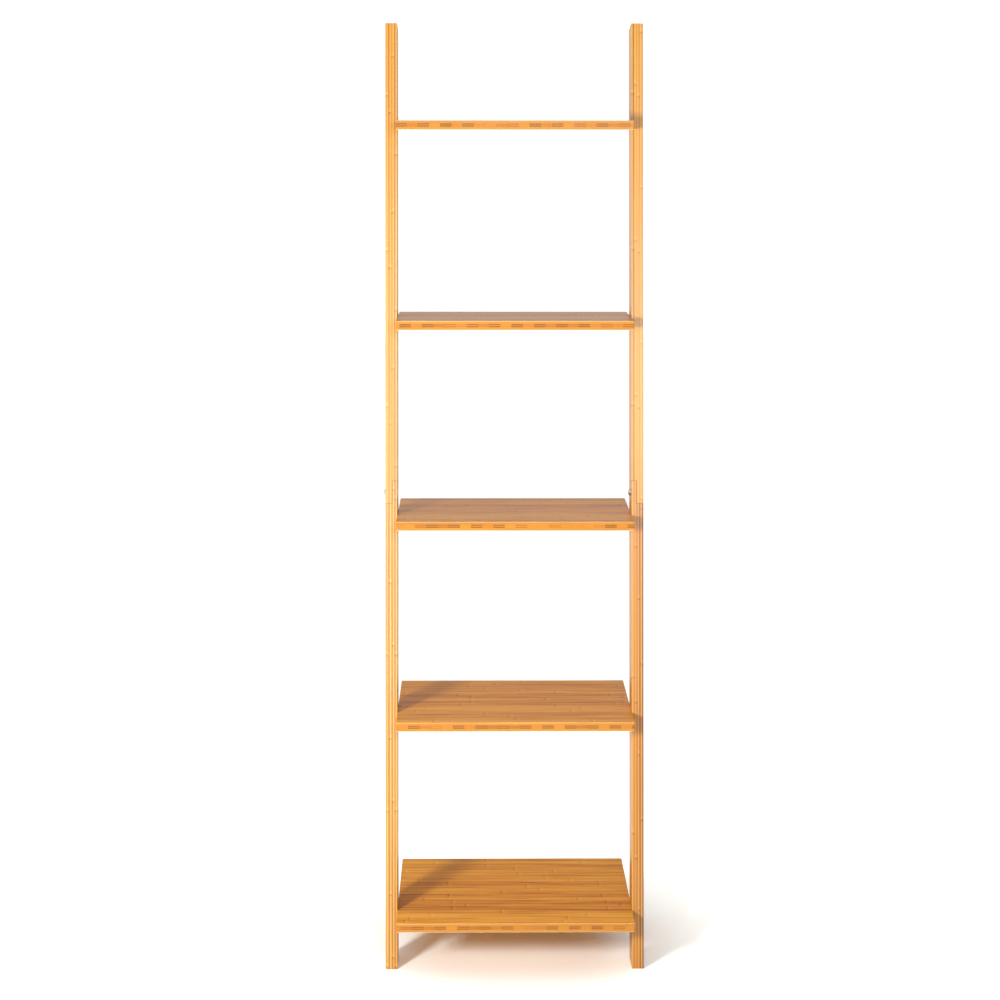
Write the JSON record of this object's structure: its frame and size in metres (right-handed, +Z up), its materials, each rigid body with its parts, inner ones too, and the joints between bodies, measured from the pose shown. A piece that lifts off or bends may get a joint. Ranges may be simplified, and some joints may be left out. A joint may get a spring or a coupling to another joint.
{
  "type": "ladder shelf",
  "caption": "Leaning bamboo ladder shelf with level tiers that get shallower towards the top, between two side rails joined by half laps.",
  "frame": {"origin": "on the floor, midway between the two side rails and midway between the front of the bottom shelf and the wall plane", "axes": "+Z up, +Y towards the wall that the shelf leans on, +X to the right of someone facing the shelves"},
  "size_m": [0.4834, 0.4016, 1.739],
  "materials": {
    "rail_bamboo": "clear satin lacquer on laminated bamboo, strips along the rail",
    "shelf_bamboo": "clear satin lacquer on three-ply laminated bamboo, strips across the shelf",
    "zinc_plated_steel": "bright zinc plate"
  },
  "bodies": {
    "root": {"left_rail_lower": "rail_bamboo", "left_rail_upper": "rail_bamboo", "right_rail_lower": "rail_bamboo", "right_rail_upper": "rail_bamboo", "bottom_shelf": "shelf_bamboo", "second_shelf": "shelf_bamboo", "middle_shelf": "shelf_bamboo", "fourth_shelf": "shelf_bamboo", "top_shelf": "shelf_bamboo", "bottom_shelf_bolts": "zinc_plated_steel", "bottom_shelf_barrel_nuts": "zinc_plated_steel", "second_shelf_bolts": "zinc_plated_steel", "second_shelf_barrel_nuts": "zinc_plated_steel", "middle_shelf_bolts": "zinc_plated_steel", "middle_shelf_barrel_nuts": "zinc_plated_steel", "fourth_shelf_bolts": "zinc_plated_steel", "fourth_shelf_barrel_nuts": "zinc_plated_steel", "top_shelf_bolts": "zinc_plated_steel", "top_shelf_barrel_nuts": "zinc_plated_steel", "left_lap_bolts": "zinc_plated_steel", "left_lap_nuts": "zinc_plated_steel", "right_lap_bolts": "zinc_plated_steel", "right_lap_nuts": "zinc_plated_steel"}
  },
  "joints": []
}
